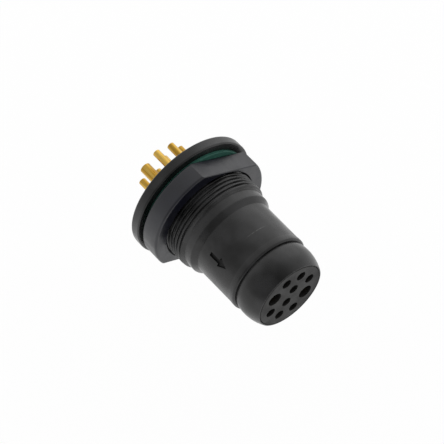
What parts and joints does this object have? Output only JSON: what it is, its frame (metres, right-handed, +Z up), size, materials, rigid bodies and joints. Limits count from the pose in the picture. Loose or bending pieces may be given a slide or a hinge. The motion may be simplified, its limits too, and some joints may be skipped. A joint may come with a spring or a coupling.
{
  "type": "circular connector",
  "caption": "Panel-mount round connector: flanged plastic shell with a threaded neck, gasket, round nut with wrench flats, domed socket face and rear solder cups.",
  "frame": {"origin": "on the connector's axis, at the gasket face that the panel rests on", "axes": "-Y along the axis towards the nose and the mating plug, +Z up as in an upright panel"},
  "size_m": [0.0266, 0.0383, 0.0266],
  "materials": {
    "shell": "fine moulded matt",
    "front_insert": "moulded matt",
    "rear_insert": "moulded matt",
    "gasket": "smooth rubber",
    "nut": "moulded satin",
    "contact": "gold plated"
  },
  "bodies": {
    "connector": {"shell": "shell", "front_insert": "front_insert", "rear_insert": "rear_insert", "gasket": "gasket", "power_contact_1": "contact", "power_contact_2": "contact", "signal_contact_1": "contact", "signal_contact_2": "contact", "signal_contact_3": "contact", "signal_contact_4": "contact", "signal_contact_5": "contact", "signal_contact_6": "contact", "signal_contact_7": "contact", "signal_contact_8": "contact"},
    "nut": {"panel_nut": "nut"}
  },
  "joints": [
    {"name": "nut_travel", "type": "slide", "parent": "connector", "child": "nut", "axis": [0, -1, 0], "range_m": [0, 0.0078]}
  ]
}
